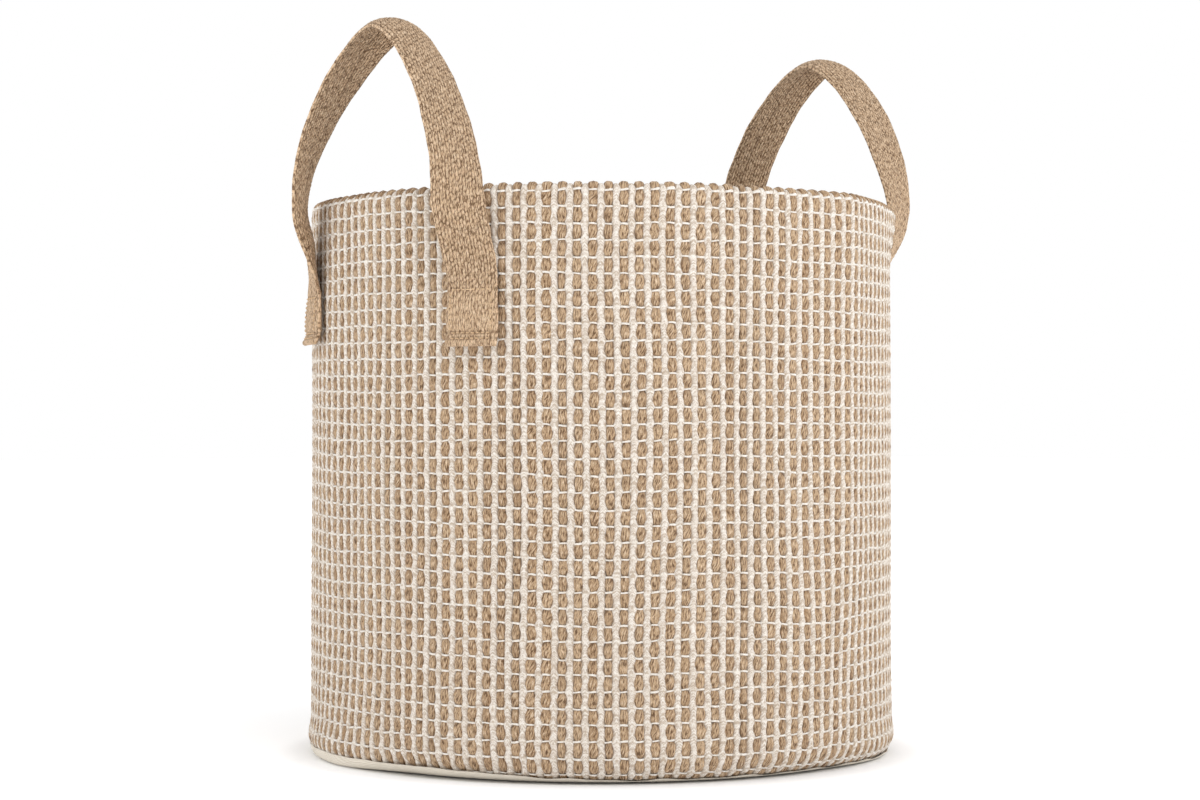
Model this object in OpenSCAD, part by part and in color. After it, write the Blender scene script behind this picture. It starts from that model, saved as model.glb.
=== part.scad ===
// Round storage bin of woven jute and cotton cloth, with two webbing handles sewn to its outside.
// The origin is the centre of the base on the floor, and +Z is up.
// One handle stands on the -X side, the other near the +X side.
// Every section below is drawn in the XZ half plane and turned about Z.

/* [Body] */
// Outside radius of the woven wall
body_r = 200; // [170:1:230]
// Height of the rim above the floor
body_h = 374; // [320:1:420]
// Thickness of the woven wall
wall_t = 5; // [4:0.5:6]
// Extra thickness of the cloth turned in at the rim
hem_t = 4; // [3:0.5:5]
// Depth of the cloth turned in at the rim
hem_depth = 26; // [16:1:40]
// Outside radius of the rounded lower edge
corner_r = 17; // [12:1:24]

/* [Base] */
// Thickness of the canvas base
base_t = 3; // [2:0.5:4]
// Height of the canvas edge that shows below the weave
band_h = 7; // [5:1:9]

/* [Seam] */
// Direction of the side seam, counted from +X
seam_heading = 80; // [60:5:120]
// Width of the tape over the side seam
seam_tape_w = 22; // [16:1:30]
// Thickness of the seam tape and of every line of thread
tape_t = 0.8; // [0.6:0.1:1]

/* [Handles] */
// Direction of the handle on the +X side, counted from +X
right_heading = -7.5; // [-10:0.5:10]
// Width of the webbing
strap_w = 35.5; // [30:0.5:38]
// Thickness of the webbing
strap_t = 4; // [3:0.5:5]
// Drop from the rim to the top of the sewn part
sewn_top = 62; // [50:1:70]
// Drop from the rim to the end of the webbing, on three of the four legs
sewn_end = 102.5; // [90:0.5:110]
// Thickness of the folded end where it is sewn down
sewn_t = 5.5; // [5:0.5:7]
// How far the folded end stands out at its lowest edge
flare = 10; // [8:0.5:12]

/* [Left handle] */
// Rise above the rim, to the middle of the webbing
left_rise = 108; // [95:1:120]
// Distance of its top from the bin's axis
left_reach = 187; // [180:1:205]
// Distance of the webbing from the bin's axis, at the rim
left_bulge = 216.5; // [215:0.1:218]
// Half width between the legs at the rim, on the front leg's side
left_front_spread = 81; // [76:0.5:86]
// Half width between the legs at the rim, on the rear leg's side
left_rear_spread = 76.5; // [74:0.5:86]
// Half width of the round top
left_crown = 26; // [22:1:40]
// Angle from the handle's own direction to the front sewn end
left_front_angle = 23; // [21:0.5:29]
// Angle from the handle's own direction to the rear sewn end
left_rear_angle = 26; // [21:0.5:29]
// Drop from the rim to the end of the webbing on its rear leg
left_rear_end = 97.5; // [90:0.5:110]

/* [Right handle] */
// Rise above the rim, to the middle of the webbing
right_rise = 115.5; // [95:0.5:120]
// Distance of its top from the bin's axis
right_reach = 200; // [180:1:205]
// Distance of the webbing from the bin's axis, at the rim
right_bulge = 217.2; // [216:0.1:219]
// Half width between the legs at the rim, on the front leg's side
right_front_spread = 86; // [84:0.5:94]
// Half width between the legs at the rim, on the rear leg's side
right_rear_spread = 93; // [86:0.5:94]
// Half width of the round top
right_crown = 36; // [22:1:40]
// Angle from the handle's own direction to the front sewn end
right_front_angle = 22; // [21:0.5:29]
// Angle from the handle's own direction to the rear sewn end
right_rear_angle = 22; // [21:0.5:29]

/* [Hidden] */

JUTE = "#b89868";
COTTON = "#e2dccb";
CANVAS = "#d9cdb4";
THREAD = "#cbb890";

// Each handle as [direction, rise, reach, bulge, crown].
LEFT = [180, left_rise, left_reach, left_bulge, left_crown];
RIGHT = [right_heading, right_rise, right_reach, right_bulge, right_crown];
// Each leg as [side of its handle, half width at the rim, how fast it twists, angle to its sewn end,
// drop to the end of the webbing].
FRONT_TWIST = 2.4;
REAR_TWIST = 1.35;
LEFT_FRONT = [1, left_front_spread, FRONT_TWIST, left_front_angle, sewn_end];
LEFT_REAR = [-1, left_rear_spread, REAR_TWIST, left_rear_angle, left_rear_end];
RIGHT_FRONT = [-1, right_front_spread, FRONT_TWIST, right_front_angle, sewn_end];
RIGHT_REAR = [1, right_rear_spread, REAR_TWIST, right_rear_angle, sewn_end];
GAP = 0.5;              // space between two lengths of webbing that fold against each other
ARC = 10;               // steps in a quarter turn of a section
RINGS = 14;             // sections along a leg, and along half a loop
inner_r = body_r - wall_t;
hem_r = inner_r - hem_t;
base_r = body_r - corner_r;
rim_round = (wall_t + hem_t) / 2;
leg_r = body_r + strap_t / 2 + 0.5;
leg_foot = body_h - sewn_top + GAP;   // height at which the free webbing begins
fold_h = body_h + 1;                  // height of the fold between a leg and its loop

// Points on an arc in the XZ plane, from angle a to angle b.
function arc(x, z, r, a, b) = [for (i = [0:ARC]) let (t = a + (b - a) * i / ARC) [x + r * cos(t), z + r * sin(t)]];

// Angle at which the lower edge's arc of radius r reaches height z.
function corner_angle(r, z) = asin((z - corner_r) / r);

// A thin patch on a cylinder: width along the circle, from height z0 to z1, between radii r0 and r1.
module patch(heading, width, z0, z1, r0, r1) {
    turn = width / body_r * 180 / PI;
    rotate([0, 0, heading - turn / 2])
        rotate_extrude(angle = turn, $fn = 180)
            translate([r0, z0]) square([r1 - r0, z1 - z0]);
}

// The woven tube, with its rounded lower edge and the hem turned in at the rim.
module wall_panel() {
    color(JUTE) rotate_extrude($fn = 180) polygon(concat(
        arc(base_r, corner_r, corner_r, corner_angle(corner_r, band_h), 0),
        arc(body_r - rim_round, body_h - rim_round, rim_round, 0, 180),
        [[hem_r, body_h - hem_depth], [inner_r, body_h - hem_depth]],
        arc(base_r, corner_r, corner_r - wall_t, 0, corner_angle(corner_r - wall_t, band_h))
    ));
}

// The canvas edge that closes the rounded corner between the weave and the floor.
module base_band() {
    color(CANVAS) rotate_extrude($fn = 180) polygon(concat(
        arc(base_r, corner_r, corner_r, -90, corner_angle(corner_r, band_h)),
        arc(base_r, corner_r, corner_r - wall_t, corner_angle(corner_r - wall_t, band_h), -90)
    ));
}

module base_panel() {
    color(CANVAS) cylinder(r = base_r, h = base_t, $fn = 180);
}

module side_seam_tape() {
    color(CANVAS) patch(seam_heading, seam_tape_w, corner_r + 2, body_h - hem_depth - 1, inner_r - tape_t, inner_r);
}

// Two lines of thread down the tape.
module side_seam_stitching() {
    stitch_r = inner_r - tape_t;
    spread = seam_tape_w * 0.32 / inner_r * 180 / PI;
    color(THREAD) for (side = [-1, 1])
        patch(seam_heading + side * spread, 1.2, corner_r + 4, body_h - hem_depth - 3, stitch_r - tape_t, stitch_r);
}

module ring(r, z) {
    rotate_extrude($fn = 180) translate([r - tape_t, z]) square([tape_t, 1.2]);
}

module hem_stitching() {
    color(THREAD) ring(hem_r, body_h - hem_depth + 5);
}

module base_stitching() {
    color(THREAD) ring(base_r - 3, base_t);
}

// The end of the webbing, folded under and sewn flat to the wall. Its lowest edge stands out.
module strap_end(handle, leg) {
    turn = strap_w / body_r * 180 / PI;
    top = body_h - sewn_top;
    bottom = body_h - leg[4];
    color(JUTE) rotate([0, 0, handle[0] + leg[0] * leg[3] - turn / 2])
        rotate_extrude(angle = turn, $fn = 180) polygon([
            [body_r, top], [body_r + strap_t + 0.3, top], [body_r + sewn_t, top - 3],
            [body_r + sewn_t, bottom + 5], [body_r + flare, bottom],
            [body_r + flare - sewn_t, bottom], [body_r, bottom + 4]
        ]);
}

// A square of thread on the sewn end, with a second row close above the lowest one.
// The rows and the sides of the square are separate lengths that stop just short of each other.
module box_stitching(handle, leg) {
    at = handle[0] + leg[0] * leg[3];
    row = 1.2;
    low = body_h - leg[4] + 5;
    top = body_h - sewn_top - 5;
    r0 = body_r + sewn_t;
    across = strap_w - 6;
    edge = (across - row) / 2 / body_r * 180 / PI;
    color(THREAD) {
        for (z = [low, low + 3.5, top])
            patch(at, across, z, z + row, r0, r0 + tape_t);
        for (side = [-1, 1])
            patch(at + side * edge, row, low + 3.5 + row + GAP, top - GAP, r0, r0 + tape_t);
    }
}

function unit(v) = v / norm(v);
function ease(t) = t * t * (3 - 2 * t);
function mix(a, b, t) = a + (b - a) * t;
function bezier(p, t) = pow(1 - t, 3) * p[0] + 3 * pow(1 - t, 2) * t * p[1] + 3 * (1 - t) * t * t * p[2]
    + pow(t, 3) * p[3];

// Middle of the webbing on the positive side of a handle whose own direction is +X.
// v runs from -1 at the sewn part to 0 at the rim and 1 at the handle's top.
function leg_middle(v, handle, leg) =
    let (
        r = mix(leg_r, handle[3], ease(min(1, 1.15 * (1 + v)))),
        a = mix(leg[3], asin(leg[1] / handle[3]), 1 + v)
    )
    [r * cos(a), r * sin(a), mix(fold_h, leg_foot, -v)];
function loop_middle(v, handle, leg) =
    let (
        foot = leg_middle(0, handle, leg),
        top = handle[1] - 1,
        flat = bezier([[foot[1], 0], [foot[1] - 3, top * 0.36], [handle[4], top], [0, top]], v)
    )
    [mix(foot[0], handle[2], ease(v)), flat[0], fold_h + flat[1]];
function middle(v, handle, leg) = v <= 0 ? leg_middle(v, handle, leg) : loop_middle(v, handle, leg);

// The webbing lies flat on the wall where it is sewn, and turns until its width points at the bin's axis.
function twist(z, handle, leg) =
    let (u = (z - leg_foot) / (body_h + handle[1] - leg_foot))
    mix(leg[3], 90, 1 - pow(1 - max(0, min(1, u)), leg[2]));

// [middle, direction across the webbing, direction out of its face] at v.
function section(v, handle, leg) =
    let (
        e = 0.01,
        p = middle(v, handle, leg),
        along = v <= -1 ? [0, 0, 1] : unit(middle(min(1, v + e), handle, leg) - middle(v - e, handle, leg)),
        x = unit([1, 0, 0] - along[0] * along),
        a = twist(p[2], handle, leg),
        face = unit(cos(a) * x + sin(a) * cross(along, [1, 0, 0]))
    )
    [p, cross(along, face), face];
function mirrored(s) = [for (v = s) [v[0], -v[1], v[2]]];

// A ribbon with a rectangular section through a list of sections.
module ribbon(sections) {
    half = [strap_w, strap_t] / 2;
    last = len(sections) - 1;
    corners = [[1, 1], [1, -1], [-1, -1], [-1, 1]];
    points = [for (s = sections) for (c = corners) s[0] + s[1] * c[0] * half[0] + s[2] * c[1] * half[1]];
    sides = [for (i = [0:last - 1]) for (j = [0:3]) let (a = 4 * i + j, b = 4 * i + (j + 1) % 4)
        each [[a, b, b + 4], [a, b + 4, a + 4]]];
    ends = [[3, 2, 1, 0], [for (j = [0:3]) 4 * last + j]];
    polyhedron(points, concat(sides, ends));
}

// A section moved down the webbing by a distance.
function lowered(s, distance) = [s[0] - cross(s[2], s[1]) * distance, s[1], s[2]];

// The free webbing between the sewn end and the rim. Its top end is square to the loop's foot.
module strap_leg(handle, leg) {
    run = [for (i = [0:RINGS]) i < RINGS ? section(-1 + i / RINGS, handle, leg)
        : lowered(section(0, handle, leg), GAP)];
    color(JUTE) rotate([0, 0, handle[0]])
        if (leg[0] < 0) mirror([0, 1, 0]) ribbon(run);
        else ribbon(run);
}

// The loop above the rim that a hand takes hold of. The first leg is on the positive side.
module handle_loop(handle, first, second) {
    rising = [for (i = [0:RINGS]) section(i / RINGS, handle, first)];
    falling = [for (i = [1:RINGS]) mirrored(section(1 - i / RINGS, handle, second))];
    color(JUTE) rotate([0, 0, handle[0]]) ribbon(concat(rising, falling));
}

wall_panel();
base_panel();
base_band();
side_seam_tape();
side_seam_stitching();
hem_stitching();
base_stitching();
strap_end(LEFT, LEFT_FRONT);  // left_front_strap_end
strap_end(LEFT, LEFT_REAR);  // left_rear_strap_end
strap_end(RIGHT, RIGHT_FRONT);  // right_front_strap_end
strap_end(RIGHT, RIGHT_REAR);  // right_rear_strap_end
box_stitching(LEFT, LEFT_FRONT);  // left_front_box_stitching
box_stitching(LEFT, LEFT_REAR);  // left_rear_box_stitching
box_stitching(RIGHT, RIGHT_FRONT);  // right_front_box_stitching
box_stitching(RIGHT, RIGHT_REAR);  // right_rear_box_stitching
strap_leg(LEFT, LEFT_FRONT);  // left_front_strap_leg
strap_leg(LEFT, LEFT_REAR);  // left_rear_strap_leg
strap_leg(RIGHT, RIGHT_FRONT);  // right_front_strap_leg
strap_leg(RIGHT, RIGHT_REAR);  // right_rear_strap_leg
handle_loop(LEFT, LEFT_FRONT, LEFT_REAR);  // left_handle_loop
handle_loop(RIGHT, RIGHT_REAR, RIGHT_FRONT);  // right_handle_loop
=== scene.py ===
"""Looks of the woven storage bin: yarns, webbing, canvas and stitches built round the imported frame.

Every length is in metres. The bin stands on the floor at z = 0, with its axis on the Z axis.
"""

from collections import namedtuple
import math

import bpy
import numpy as np
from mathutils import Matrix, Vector


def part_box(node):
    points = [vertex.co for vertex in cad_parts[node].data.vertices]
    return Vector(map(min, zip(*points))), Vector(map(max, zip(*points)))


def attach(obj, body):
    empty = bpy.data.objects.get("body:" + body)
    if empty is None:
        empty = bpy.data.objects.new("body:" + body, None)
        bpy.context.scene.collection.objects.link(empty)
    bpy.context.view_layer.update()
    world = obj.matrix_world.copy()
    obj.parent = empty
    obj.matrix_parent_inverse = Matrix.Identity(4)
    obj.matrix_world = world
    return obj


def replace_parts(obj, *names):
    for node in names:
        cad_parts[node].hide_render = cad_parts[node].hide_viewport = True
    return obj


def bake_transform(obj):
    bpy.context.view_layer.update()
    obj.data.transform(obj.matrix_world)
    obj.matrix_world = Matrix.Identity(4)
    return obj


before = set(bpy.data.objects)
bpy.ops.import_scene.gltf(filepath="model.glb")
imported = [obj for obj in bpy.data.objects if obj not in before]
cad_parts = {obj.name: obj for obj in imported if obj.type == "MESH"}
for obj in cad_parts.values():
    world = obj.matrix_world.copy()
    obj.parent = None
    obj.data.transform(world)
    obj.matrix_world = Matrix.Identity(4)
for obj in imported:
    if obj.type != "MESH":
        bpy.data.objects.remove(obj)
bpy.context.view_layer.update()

MM = 0.001
TAU = 2 * math.pi
VIEW_AZIMUTH = math.radians(-43.5)             # the direction the bin is seen from
VIEW_HEADING = VIEW_AZIMUTH - math.pi / 2
rng = np.random.default_rng(11)

# Sizes that the frame gives.
WALL_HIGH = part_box("wall_panel")[1]
BODY_R = WALL_HIGH.x
BODY_H = WALL_HIGH.z
BASE_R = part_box("base_panel")[1].x
BASE_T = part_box("base_panel")[1].z
HEM_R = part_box("hem_stitching")[1].x

# The cloth: jute cords up the wall, cotton columns between them, and wefts across them.
COLUMNS = 128
ROW = 10.35 * MM                     # from one weft to the next
HALF_CLOTH = 2.5 * MM                # half of the cloth's thickness
CLOTH_R = BODY_R - HALF_CLOTH        # middle of the cloth
CORNER_R = BODY_R - BASE_R - HALF_CLOTH
CORNER_Z = CORNER_R + HALF_CLOTH
HEM_CLOTH_R = HEM_R + 2.2 * MM       # middle of the cloth turned in at the rim
TURN_R = (CLOTH_R - HEM_CLOTH_R) / 2
HEM_DEPTH = 26 * MM
FIRST_WEFT_DROP = 5 * MM             # from the rim to the highest weft on the outside
FOOT_H = 90 * MM                     # the wall grows uneven over this height from the floor


def smooth(t):
    t = np.clip(t, 0, 1)
    return t * t * (3 - 2 * t)


def mix(a, b, t):
    return a + (b - a) * t


def unit(v):
    return v / np.maximum(np.linalg.norm(v, axis=-1, keepdims=True), 1e-12)


# ---------------------------------------------------------------- the cloth's path

CORNER_FROM = math.radians(-58)      # the cloth starts here, tucked under the rounded corner
STRAIGHT = BODY_H - HALF_CLOTH - TURN_R - CORNER_Z
PATH_LENGTHS = [CORNER_R * -CORNER_FROM, STRAIGHT, math.pi * TURN_R, HEM_DEPTH]
PATH_ENDS = np.cumsum(PATH_LENGTHS)
TOP_WEFT = PATH_ENDS[1] - (FIRST_WEFT_DROP - HALF_CLOTH - TURN_R)


def cloth_path(s):
    """Where the cloth's middle is at distance s up from its lower edge.

    Gives the radius, the height, and the outward and upward parts of the cloth's outward normal.
    """
    s = np.asarray(s, float)
    stretches = [s < PATH_ENDS[0], (s >= PATH_ENDS[1]) & (s < PATH_ENDS[2]), s >= PATH_ENDS[2]]
    a = CORNER_FROM + s / CORNER_R
    b = (s - PATH_ENDS[1]) / TURN_R
    rim_z = CORNER_Z + STRAIGHT
    corner = (BASE_R + CORNER_R * np.cos(a), CORNER_Z + CORNER_R * np.sin(a), np.cos(a), np.sin(a))
    turn = (CLOTH_R - TURN_R + TURN_R * np.cos(b), rim_z + TURN_R * np.sin(b), np.cos(b), np.sin(b))
    hem = (CLOTH_R - 2 * TURN_R, rim_z - (s - PATH_ENDS[2]), -1.0, 0.0)
    straight = (CLOTH_R, CORNER_Z + s - PATH_ENDS[0], 1.0, 0.0)
    return [np.select(stretches, choices, other) for *choices, other in zip(corner, turn, hem, straight)]


WAVES = [(n, m, rng.uniform(0, TAU), rng.uniform(0, TAU)) for n in (2, 3, 5, 7, 11) for m in (0, 1, 2, 3)]


def unevenness(theta, z, size, seed):
    """A slow, smooth unevenness round and up the bin, of about the size given."""
    total = 0
    for n, m, p, q in WAVES:
        way_round = np.sin(n * theta + p * (seed + 1))
        way_up = np.cos(m * math.pi * z / BODY_H + q * (seed + 2))
        total = total + way_round * way_up / (1 + 0.3 * n)
    return size * total / 2.2


def camera_side(theta):
    """Angle round the bin counted from the viewer, positive to the viewer's right."""
    return (theta - VIEW_HEADING + math.pi) % TAU - math.pi


# Soft upright creases, as (angle from the viewer, height, half width in degrees, where it starts, where it is
# full).
CREASES = [
    (53, 6.0 * MM, 17, 20 * MM, 190 * MM), (-84, 0.5 * MM, 18, 0, 90 * MM), (-57, -3.5 * MM, 26, 0, 90 * MM),
    (91, 7.0 * MM, 17, 325 * MM, 370 * MM), (132, 3.0 * MM, 20, 0, 90 * MM), (-150, 2.5 * MM, 20, 0, 90 * MM),
]


def crease(theta, z):
    """How far the soft creases push the wall out at angle theta and height z."""
    side = np.degrees(camera_side(theta))
    total = 0
    for at, height, half, start, full in CREASES:
        ridge = np.clip(1 - np.sqrt((side - at) ** 2 + 2.5) / half, 0, 1) ** 2
        total = total + height * ridge * smooth((z - start) / (full - start))
    return total - 0.8 * MM * smooth(z / FOOT_H)


# How far the foot stands out from a true circle, as (from, to, amount reached). Degrees from the viewer.
FOOT = [(-150, -115, 13 * MM), (-62, -38, -6 * MM), (45, 75, 9 * MM), (115, 150, 0)]


def foot_shift(theta):
    """How far the foot stands out at angle theta. The cloth follows a part of it."""
    side = np.degrees(camera_side(theta))
    total = 0
    for start, end, amount in FOOT:
        total = mix(total, amount, smooth((side - start) / (end - start)))
    return total


def wrinkle(theta, z):
    """1 in the middle of the soft wrinkle low on the viewer's right, 0 away from it."""
    return np.exp(-((np.degrees(camera_side(theta)) - 44) / 11) ** 2 - ((z - 95 * MM) / (42 * MM)) ** 2)


def cloth_point(theta, s, offset):
    """A point of the cloth at angle theta and path distance s, offset along the cloth's outward normal."""
    r, z, nr, nz = cloth_path(s)
    lift = smooth(z / FOOT_H)
    loose = lift * smooth((BODY_H - z) / (60 * MM))
    creased = wrinkle(theta, z)
    theta = theta + unevenness(theta, z, 1.3 * MM / BODY_R, 5) * loose + 4.5 * MM / BODY_R * creased
    foot = foot_shift(theta)
    foot = foot * np.where(foot > 0, 0.35, 0.62) * (1 - smooth(z / (26 * MM)))
    push = unevenness(theta, z, 0.55 * MM, 0) * lift + crease(theta, z) + foot - 2 * MM * creased
    sway = unevenness(theta, z, 1.5 * MM, 7) * loose
    rise = unevenness(theta, z, 0.45 * MM, 3) * lift + sway - 3 * MM * creased
    r = r + nr * offset + push
    z = z + nz * offset + rise
    return np.stack([r * np.cos(theta), r * np.sin(theta), z], -1)


# ---------------------------------------------------------------- mesh building

def new_object(name, points, quads, tris=None, attributes=None):
    """A mesh object in the scene. The quads are shaded smooth; the triangles are end caps, and stay flat."""
    mesh = bpy.data.meshes.new(name)
    quads = np.asarray(quads, np.int32).reshape(-1, 4)
    tris = np.zeros((0, 3), np.int32) if tris is None else np.asarray(tris, np.int32).reshape(-1, 3)
    corners = np.concatenate([quads.ravel(), tris.ravel()])
    totals = np.concatenate([np.full(len(quads), 4), np.full(len(tris), 3)]).astype(np.int32)
    mesh.vertices.add(len(points))
    mesh.vertices.foreach_set("co", np.asarray(points, np.float32).ravel())
    mesh.loops.add(len(corners))
    mesh.loops.foreach_set("vertex_index", corners)
    mesh.polygons.add(len(totals))
    mesh.polygons.foreach_set("loop_start", np.concatenate([[0], np.cumsum(totals)[:-1]]).astype(np.int32))
    mesh.polygons.foreach_set("loop_total", totals)
    mesh.polygons.foreach_set("use_smooth", totals == 4)
    for key, values in (attributes or {}).items():
        attribute = mesh.attributes.new(key, "FLOAT", "POINT")
        attribute.data.foreach_set("value", np.asarray(values, np.float32).ravel())
    mesh.update()
    mesh.validate()
    made = bpy.data.objects.new(name, mesh)
    bpy.context.scene.collection.objects.link(made)
    return made


def tube_faces(tubes, rings, sides, closed=False):
    """Quads and end caps of several tubes whose points are numbered tube by tube and ring by ring.

    A closed tube joins its last ring to its first, and has no caps.
    """
    spans = rings if closed else rings - 1
    t, i, j = np.meshgrid(np.arange(tubes), np.arange(spans), np.arange(sides), indexing="ij")
    base = t * rings * sides
    low, high = base + i * sides, base + ((i + 1) % rings) * sides
    k = (j + 1) % sides
    quads = np.stack([low + j, low + k, high + k, high + j], -1).reshape(-1, 4)
    if closed:
        return quads, None
    fan = np.arange(1, sides - 1)
    caps = []
    for t in range(tubes):
        first, last = t * rings * sides, (t * rings + rings - 1) * sides
        caps.append(np.stack([np.full(len(fan), first), first + fan + 1, first + fan], -1))
        caps.append(np.stack([np.full(len(fan), last), last + fan, last + fan + 1], -1))
    return quads, np.concatenate(caps)


def ribbon_faces(rings, width):
    """Faces of one ribbon whose rings go across one side and back along the other.

    A narrow strip closes each end, and follows the ribbon's bend.
    """
    quads, _ = tube_faces(1, rings, 2 * width)
    near = np.arange(width - 1)
    far = 2 * width - 1 - near
    strip = np.concatenate([np.stack([near, far - 1, near + 1], -1), np.stack([near, far, far - 1], -1)])
    last = (rings - 1) * 2 * width
    return quads, np.concatenate([strip, last + strip[:, ::-1]])


# ---------------------------------------------------------------- materials

def srgb(r, g, b):
    """Linear colour of an 8-bit display colour."""
    return [((c / 255 + 0.055) / 1.055) ** 2.4 if c > 10 else c / 3294.6 for c in (r, g, b)]


class Nodes:
    """Short forms for building one material's node tree."""

    def __init__(self, name):
        self.material = bpy.data.materials.new(name)
        self.material.use_nodes = True
        self.tree = self.material.node_tree
        self.shader = self.tree.nodes["Principled BSDF"]

    def node(self, kind, **inputs):
        made = self.tree.nodes.new(kind)
        for key, value in inputs.items():
            self.set(made.inputs[key.replace("_", " ")], value)
        return made

    def set(self, socket, value):
        if isinstance(value, bpy.types.NodeSocket):
            self.tree.links.new(value, socket)
        else:
            socket.default_value = value

    def attribute(self, name):
        made = self.tree.nodes.new("ShaderNodeAttribute")
        made.attribute_name = name
        return made.outputs["Fac"]

    def math(self, operation, a, b):
        made = self.tree.nodes.new("ShaderNodeMath")
        made.operation = operation
        self.set(made.inputs[0], a)
        self.set(made.inputs[1], b)
        return made.outputs[0]

    def blend(self, factor, a, b):
        """Colour a where factor is 0, and b where it is 1."""
        made = self.tree.nodes.new("ShaderNodeMix")
        made.data_type = "RGBA"
        self.set(made.inputs[0], factor)
        self.set(made.inputs[6], a if isinstance(a, bpy.types.NodeSocket) else (*a, 1))
        self.set(made.inputs[7], b if isinstance(b, bpy.types.NodeSocket) else (*b, 1))
        return made.outputs[2]

    def noise(self, scale, detail, roughness, vector):
        made = self.node("ShaderNodeTexNoise", Scale=scale, Detail=detail, Roughness=roughness, Vector=vector)
        return made.outputs["Fac"]

    def stretch(self, scale):
        """Object coordinates scaled by three factors."""
        where = self.tree.nodes.new("ShaderNodeTexCoord")
        made = self.node("ShaderNodeMapping", Vector=where.outputs["Object"])
        made.inputs["Scale"].default_value = scale
        return made.outputs[0]

    def between(self, value, low, high):
        """value rescaled so that low becomes 0 and high 1, clamped."""
        made = self.node("ShaderNodeMapRange", Value=value)
        made.inputs["From Min"].default_value = low
        made.inputs["From Max"].default_value = high
        return made.outputs[0]

    def finish(self, colour, roughness, height, depth, sheen):
        self.set(self.shader.inputs["Base Color"], colour)
        self.set(self.shader.inputs["Roughness"], roughness)
        self.shader.inputs["Sheen Weight"].default_value = sheen
        self.shader.inputs["Sheen Roughness"].default_value = 0.6
        self.shader.inputs["Specular IOR Level"].default_value = 0.22
        bump = self.node("ShaderNodeBump", Height=height, Strength=0.9, Distance=depth)
        self.set(self.shader.inputs["Normal"], bump.outputs[0])
        return self.material


def fibres(n, wide, long, detail=3.0):
    """Streaks along a yarn: wide and long are their typical sizes."""
    joined = n.tree.nodes.new("ShaderNodeCombineXYZ")
    n.set(joined.inputs[0], n.math("MULTIPLY", n.attribute("around"), 1 / wide))
    n.set(joined.inputs[1], n.math("MULTIPLY", n.attribute("along"), 1 / long))
    return n.noise(1.0, detail, 0.6, joined.outputs[0])


def jute_material(name, light, dark, deep, wide, long):
    """Jute fibre: toned from yarn to yarn, with painted shade in the hollows, and streaks along it: painted
    shade in the fibre grooves and painted highlights on the raised fibres.
    """
    n = Nodes(name)
    tone, shade_mask = n.attribute("tone"), n.attribute("shade_mask")
    streak, fine = fibres(n, wide, long), fibres(n, wide * 0.38, long * 0.7, 2.0)
    colour = n.blend(tone, dark, light)
    # Painted highlight on the raised fibres, where the streak height is high.
    colour = n.blend(n.math("MULTIPLY", n.between(streak, 0.54, 0.66), 0.8), colour, srgb(236, 214, 186))
    # Painted shade in the fibre grooves, where the streak heights are low.
    colour = n.blend(n.math("MULTIPLY", n.between(streak, 0.49, 0.40), 0.9), colour, deep)
    colour = n.blend(n.math("MULTIPLY", n.between(fine, 0.48, 0.38), 0.6), colour, deep)
    # Painted shade in the yarn's hollows, where the per-point shade mask is low.
    colour = n.blend(n.math("MULTIPLY", n.between(shade_mask, 0.62, 0.05), 0.9), colour, deep)
    height = n.math("ADD", streak, n.math("MULTIPLY", fine, 0.5))
    return n.finish(colour, n.math("ADD", 0.72, n.math("MULTIPLY", streak, 0.25)), height, 0.7 * MM, 0.1)


def cotton_material(name, light, shade):
    """Soft cotton yarn, with painted shade, darker and warmer, in its hollows and ply grooves, and painted
    highlights on its raised plies.
    """
    n = Nodes(name)
    tone, shade_mask = n.attribute("tone"), n.attribute("shade_mask")
    ply, fluff = fibres(n, 1.15 * MM, 2.4 * MM), n.noise(1.0, 4.0, 0.7, n.stretch((1200, 1200, 900)))
    colour = n.blend(n.math("MULTIPLY", tone, 0.35), light, n.blend(0.5, light, shade))
    # Painted shade in the yarn's hollows, where the per-point shade mask is low.
    colour = n.blend(n.math("MULTIPLY", n.between(shade_mask, 0.7, 0.1), 0.85), colour, shade)
    # Painted shade in the ply grooves and a painted highlight on the raised plies.
    colour = n.blend(n.math("MULTIPLY", n.between(ply, 0.52, 0.40), 0.75), colour, shade)
    colour = n.blend(n.math("MULTIPLY", n.between(ply, 0.55, 0.64), 0.8), colour, srgb(245, 240, 232))
    # Painted shade in the low spots of the fluff, which also bumps the surface.
    colour = n.blend(n.math("MULTIPLY", n.between(fluff, 0.50, 0.36), 0.6), colour, shade)
    height = n.math("ADD", ply, n.math("MULTIPLY", fluff, 0.4))
    return n.finish(colour, n.math("ADD", 0.84, n.math("MULTIPLY", fluff, 0.12)), height, 0.5 * MM, 0.2)


def ground_material(name, light, shade):
    """Plain fine cloth between the yarns, coloured by its fine relief: painted shade in the low spots,
    painted light on the raised ones.
    """
    n = Nodes(name)
    weave = n.noise(1.0, 3.0, 0.6, n.stretch((1500, 1500, 1500)))
    colour = n.blend(n.between(weave, 0.35, 0.65), shade, light)
    return n.finish(colour, n.math("ADD", 0.85, n.math("MULTIPLY", weave, 0.1)), weave, 0.3 * MM, 0.1)


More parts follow.
